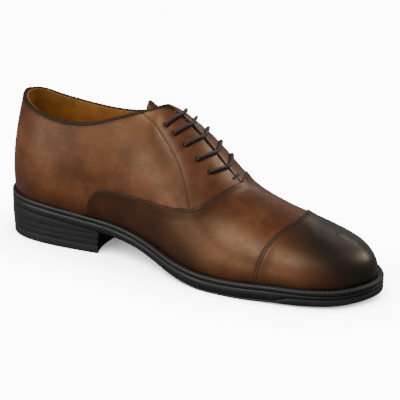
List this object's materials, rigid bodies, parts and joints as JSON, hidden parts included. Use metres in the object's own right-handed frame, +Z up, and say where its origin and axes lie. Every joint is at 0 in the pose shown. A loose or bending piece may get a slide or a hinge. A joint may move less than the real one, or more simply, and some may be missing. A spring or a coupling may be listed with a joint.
{
  "type": "leather oxford shoe",
  "caption": "Right-foot cap-toe oxford in burnished brown leather, laced shut over its tongue, on a welted black sole with a stacked heel.",
  "frame": {"origin": "on the ground, below the middle of the shoe's length and width", "axes": "+X toward the toe, +Y toward the inner side of the foot, +Z up"},
  "size_m": [0.288, 0.1004, 0.1091],
  "materials": {
    "upper_calf": "smooth burnished calf, satin",
    "toe_calf": "calf burnished nearly black at the toe",
    "binding_calf": "dark folded edge binding",
    "lining_calf": "tan lining leather",
    "stiffener_board": "leatherboard stiffener, hidden",
    "sole_leather": "dense sole leather, edge inked charcoal black",
    "insole_leather": "oak-bark insole leather",
    "stacked_heel": "stacked leather lifts, inked charcoal",
    "tread_rubber": "black rubber, matte",
    "cork": "cork filling, hidden",
    "spring_steel": "shank and nails",
    "eyelet_brass": "blind eyelets, bronzed",
    "lace_cotton": "round waxed cotton lace",
    "aglet_film": "shrunk plastic tips"
  },
  "bodies": {
    "shoe": {"toe_cap": "toe_calf", "vamp": "upper_calf", "quarter_lateral": "upper_calf", "quarter_medial": "upper_calf", "topline_binding": "binding_calf", "back_tab": "upper_calf", "heel_counter": "stiffener_board", "toe_puff": "stiffener_board", "facing_stay_lateral": "stiffener_board", "facing_stay_medial": "stiffener_board", "heel_lining": "lining_calf", "quarter_lining_lateral": "lining_calf", "quarter_lining_medial": "lining_calf", "vamp_lining": "lining_calf", "insole_board": "insole_leather", "sock_lining": "lining_calf", "shank": "spring_steel", "cork_filler": "cork", "welt": "sole_leather", "outsole": "sole_leather", "forepart_tread": "tread_rubber", "heel_wedge": "stacked_heel", "heel_lift_2": "stacked_heel", "heel_lift_1": "stacked_heel", "heel_top_piece": "tread_rubber", "heel_nail_1": "spring_steel", "heel_nail_2": "spring_steel", "heel_nail_3": "spring_steel", "heel_nail_4": "spring_steel", "heel_nail_5": "spring_steel", "eyelet_lateral_1": "eyelet_brass", "eyelet_lateral_2": "eyelet_brass", "eyelet_lateral_3": "eyelet_brass", "eyelet_lateral_4": "eyelet_brass", "eyelet_lateral_5": "eyelet_brass", "eyelet_medial_1": "eyelet_brass", "eyelet_medial_2": "eyelet_brass", "eyelet_medial_3": "eyelet_brass", "eyelet_medial_4": "eyelet_brass", "eyelet_medial_5": "eyelet_brass", "lace": "lace_cotton", "aglet_lateral": "aglet_film", "aglet_medial": "aglet_film"},
    "tongue": {"tongue": "upper_calf", "tongue_lining": "lining_calf"}
  },
  "joints": [
    {"name": "tongue_tilt", "type": "hinge", "parent": "shoe", "child": "tongue", "pos_m": [0.0455, 0.0018, 0.0519], "axis": [0, -1, 0], "range_deg": [0, 18], "stiffness_Nm_per_rad": 0.25, "springref_deg": -5.73}
  ]
}
